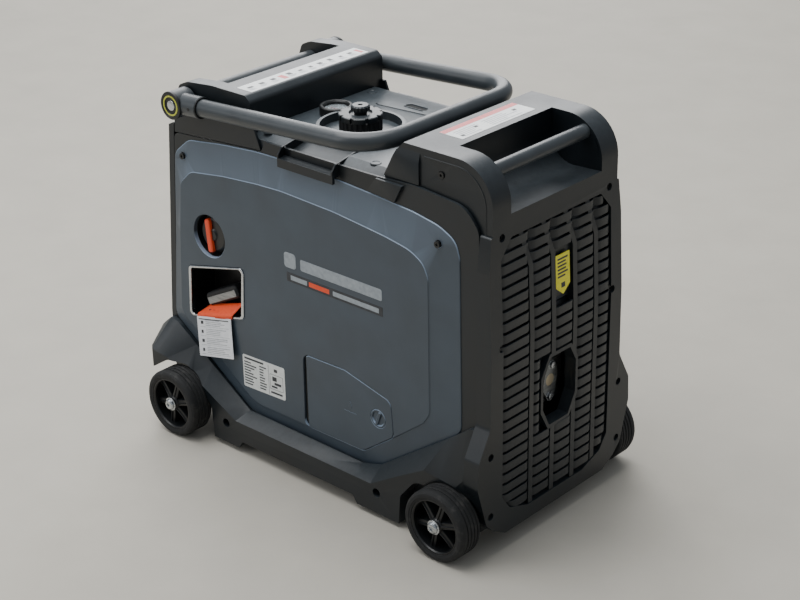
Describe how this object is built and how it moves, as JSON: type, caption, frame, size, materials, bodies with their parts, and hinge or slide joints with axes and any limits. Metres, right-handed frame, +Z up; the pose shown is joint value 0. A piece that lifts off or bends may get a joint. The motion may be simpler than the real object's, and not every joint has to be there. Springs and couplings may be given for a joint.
{
  "type": "suitcase inverter generator",
  "caption": "Enclosed portable inverter generator on wheels, with a fold-over handle, louvred exhaust end, control panel and removable service covers.",
  "frame": {"origin": "centre of the bounding box's footprint, on the floor", "axes": "+X towards the louvred exhaust end, -Y the recoil starter side, +Z up"},
  "size_m": [0.65, 0.4, 0.5611],
  "materials": {
    "panel_paint": "satin moulded, blue-grey",
    "black_plastic": "fine spark-eroded texture",
    "tube_coat": "satin powder coat",
    "tyre": "grooved",
    "cap_plastic": "knurled",
    "zinc": "zinc plated",
    "chrome": "bright plated",
    "orange": "moulded orange-red",
    "paper": "printed card",
    "lens": "clear",
    "cast_alu": "die cast",
    "sheet_steel": "pressed sheet",
    "tank_plastic": "blow moulded",
    "ceramic": "glazed",
    "dark_glass": "polished screen",
    "laminations": "varnished laminations",
    "light_plastic": "moulded"
  },
  "bodies": {
    "chassis": {"side_panel_near": "panel_paint", "side_panel_far": "panel_paint", "base_tray": "black_plastic", "skirt_near": "black_plastic", "skirt_far": "black_plastic", "side_frame_near": "black_plastic", "side_frame_far": "black_plastic", "rear_frame": "black_plastic", "exhaust_grille": "black_plastic", "top_cover": "black_plastic", "front_housing": "black_plastic", "front_cover": "black_plastic", "control_panel": "black_plastic", "spill_chute": "black_plastic", "fuel_gauge": "black_plastic", "starter_pocket": "black_plastic", "air_cleaner": "black_plastic", "grab_bar": "tube_coat", "pivot_tube": "tube_coat", "outlets": "cap_plastic", "battery": "cap_plastic", "wheel_bolts": "zinc", "recoil_bezel": "chrome", "recoil_starter": "orange", "recoil_tags": "paper", "gauge_lens": "lens", "engine_block": "cast_alu", "cylinder_head": "cast_alu", "inverter_module": "cast_alu", "muffler": "sheet_steel", "sub_frame": "sheet_steel", "cover_screws": "sheet_steel", "fuel_tank": "tank_plastic", "spark_plug": "ceramic", "display": "dark_glass", "stator": "laminations"},
    "handle": {"handle_tube": "tube_coat", "handle_tees": "tube_coat", "tee_caps": "cap_plastic"},
    "wheel_front_near": {"hub_front_near": "cap_plastic", "tyre_front_near": "tyre"},
    "wheel_front_far": {"hub_front_far": "cap_plastic", "tyre_front_far": "tyre"},
    "wheel_rear_near": {"hub_rear_near": "cap_plastic", "tyre_rear_near": "tyre"},
    "wheel_rear_far": {"hub_rear_far": "cap_plastic", "tyre_rear_far": "tyre"},
    "fuel_cap": {"fuel_cap": "cap_plastic"},
    "vent_knob": {"vent_knob": "cap_plastic"},
    "spark_plug_cover": {"spark_plug_cover": "black_plastic"},
    "oil_cover": {"oil_cover": "panel_paint"},
    "oil_cover_knob": {"oil_cover_knob": "panel_paint"},
    "engine_dial": {"engine_dial": "orange"},
    "recoil_grip": {"recoil_grip": "cap_plastic"},
    "crank": {"crank_rotor": "zinc"},
    "outlet_flap_left": {"outlet_flap_left": "black_plastic"},
    "outlet_flap_right": {"outlet_flap_right": "black_plastic"},
    "eco_rocker": {"eco_rocker": "cap_plastic"},
    "start_button": {"start_button": "orange"},
    "breaker_button": {"breaker_button": "light_plastic"}
  },
  "joints": [
    {"name": "handle_swing", "type": "hinge", "parent": "chassis", "child": "handle", "pos_m": [-0.238, 0, 0.527], "axis": [0, -1, 0], "range_deg": [0, 120]},
    {"name": "wheel_front_near_spin", "type": "hinge", "parent": "chassis", "child": "wheel_front_near", "pos_m": [-0.26, -0.176, 0.0525], "axis": [0, 1, 0], "continuous": true},
    {"name": "wheel_front_far_spin", "type": "hinge", "parent": "chassis", "child": "wheel_front_far", "pos_m": [-0.26, 0.176, 0.0525], "axis": [0, 1, 0], "continuous": true},
    {"name": "wheel_rear_near_spin", "type": "hinge", "parent": "chassis", "child": "wheel_rear_near", "pos_m": [0.27, -0.176, 0.0525], "axis": [0, 1, 0], "continuous": true},
    {"name": "wheel_rear_far_spin", "type": "hinge", "parent": "chassis", "child": "wheel_rear_far", "pos_m": [0.27, 0.176, 0.0525], "axis": [0, 1, 0], "continuous": true},
    {"name": "fuel_cap_turn", "type": "hinge", "parent": "chassis", "child": "fuel_cap", "pos_m": [0.005, -0.037, 0.52], "axis": [0, 0, 1], "range_deg": [0, 120]},
    {"name": "vent_knob_turn", "type": "hinge", "parent": "fuel_cap", "child": "vent_knob", "pos_m": [0.005, -0.037, 0.54], "axis": [0, 0, 1], "range_deg": [0, 90]},
    {"name": "spark_plug_cover_lift", "type": "slide", "parent": "chassis", "child": "spark_plug_cover", "axis": [0, 0, 1], "range_m": [0, 0.025]},
    {"name": "oil_cover_swing", "type": "hinge", "parent": "chassis", "child": "oil_cover", "pos_m": [-0.019, -0.1404, 0.138], "axis": [0, 0, -1], "range_deg": [0, 75]},
    {"name": "oil_cover_knob_turn", "type": "hinge", "parent": "oil_cover", "child": "oil_cover_knob", "pos_m": [0.123, -0.142, 0.143], "axis": [0, -1, 0], "range_deg": [0, 90]},
    {"name": "engine_dial_turn", "type": "hinge", "parent": "chassis", "child": "engine_dial", "pos_m": [-0.206, -0.136, 0.327], "axis": [0, -1, 0], "range_deg": [0, 120]},
    {"name": "recoil_pull", "type": "slide", "parent": "chassis", "child": "recoil_grip", "axis": [0, -1, 0], "range_m": [0, 0.16]},
    {"name": "crank_spin", "type": "hinge", "parent": "chassis", "child": "crank", "pos_m": [0, 0, 0.185], "axis": [1, 0, 0], "continuous": true},
    {"name": "outlet_flap_left_lift", "type": "hinge", "parent": "chassis", "child": "outlet_flap_left", "pos_m": [-0.29906, -0.058, 0.32131], "axis": [0, 1, 0], "range_deg": [0, 110]},
    {"name": "outlet_flap_right_lift", "type": "hinge", "parent": "chassis", "child": "outlet_flap_right", "pos_m": [-0.29906, 0.012, 0.32131], "axis": [0, 1, 0], "range_deg": [0, 110]},
    {"name": "eco_rocker_tilt", "type": "hinge", "parent": "chassis", "child": "eco_rocker", "pos_m": [-0.28944, 0.072, 0.35483], "axis": [0, 1, 0], "range_deg": [-9, 9]},
    {"name": "start_button_press", "type": "slide", "parent": "chassis", "child": "start_button", "axis": [0.9965, 0, -0.0833], "range_m": [0, 0.002], "stiffness_N_per_m": 400},
    {"name": "breaker_button_press", "type": "slide", "parent": "chassis", "child": "breaker_button", "axis": [0.9965, 0, -0.0833], "range_m": [0, 0.002], "stiffness_N_per_m": 400}
  ]
}
